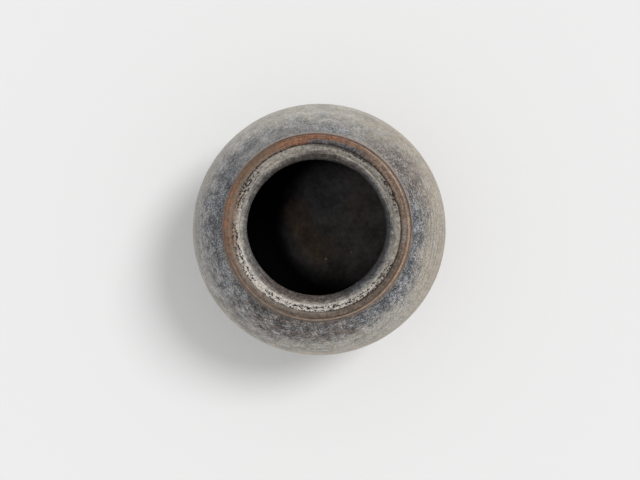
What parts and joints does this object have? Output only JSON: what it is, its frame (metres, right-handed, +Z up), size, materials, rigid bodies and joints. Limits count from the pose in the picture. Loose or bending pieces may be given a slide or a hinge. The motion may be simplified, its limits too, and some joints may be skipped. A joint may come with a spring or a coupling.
{
  "type": "pottery jar",
  "caption": "Round-bellied stoneware storage jar with a wide mouth, a thick rolled brown lip, a lid ledge inside it and a flat dished foot.",
  "frame": {"origin": "middle of the foot, on the surface that the jar stands on", "axes": "+Z up along the jar's axis; X and Y are alike, because the jar is round"},
  "size_m": [0.29, 0.29, 0.245],
  "materials": {
    "foot_clay": "bare fired stoneware, matt",
    "wall_clay": "matt grey ash-covered stoneware with blue-black speckle",
    "neck_clay": "matt dark grey-brown stoneware",
    "ledge_clay": "matt pale grey stoneware, stained blue-black",
    "lip_glaze": "thin worn red-brown iron glaze, satin",
    "crust": "chalky pitted crust, matt",
    "inner_glaze": "dark brown-black glaze, dull satin"
  },
  "bodies": {
    "root": {"base_disc": "foot_clay", "corner_coil": "inner_glaze", "lower_wall": "wall_clay", "belly_seam_coil": "inner_glaze", "shoulder_wall": "wall_clay", "neck_band": "neck_clay", "lid_ledge": "ledge_clay", "lip_roll": "lip_glaze", "seal_crust": "crust"}
  },
  "joints": []
}
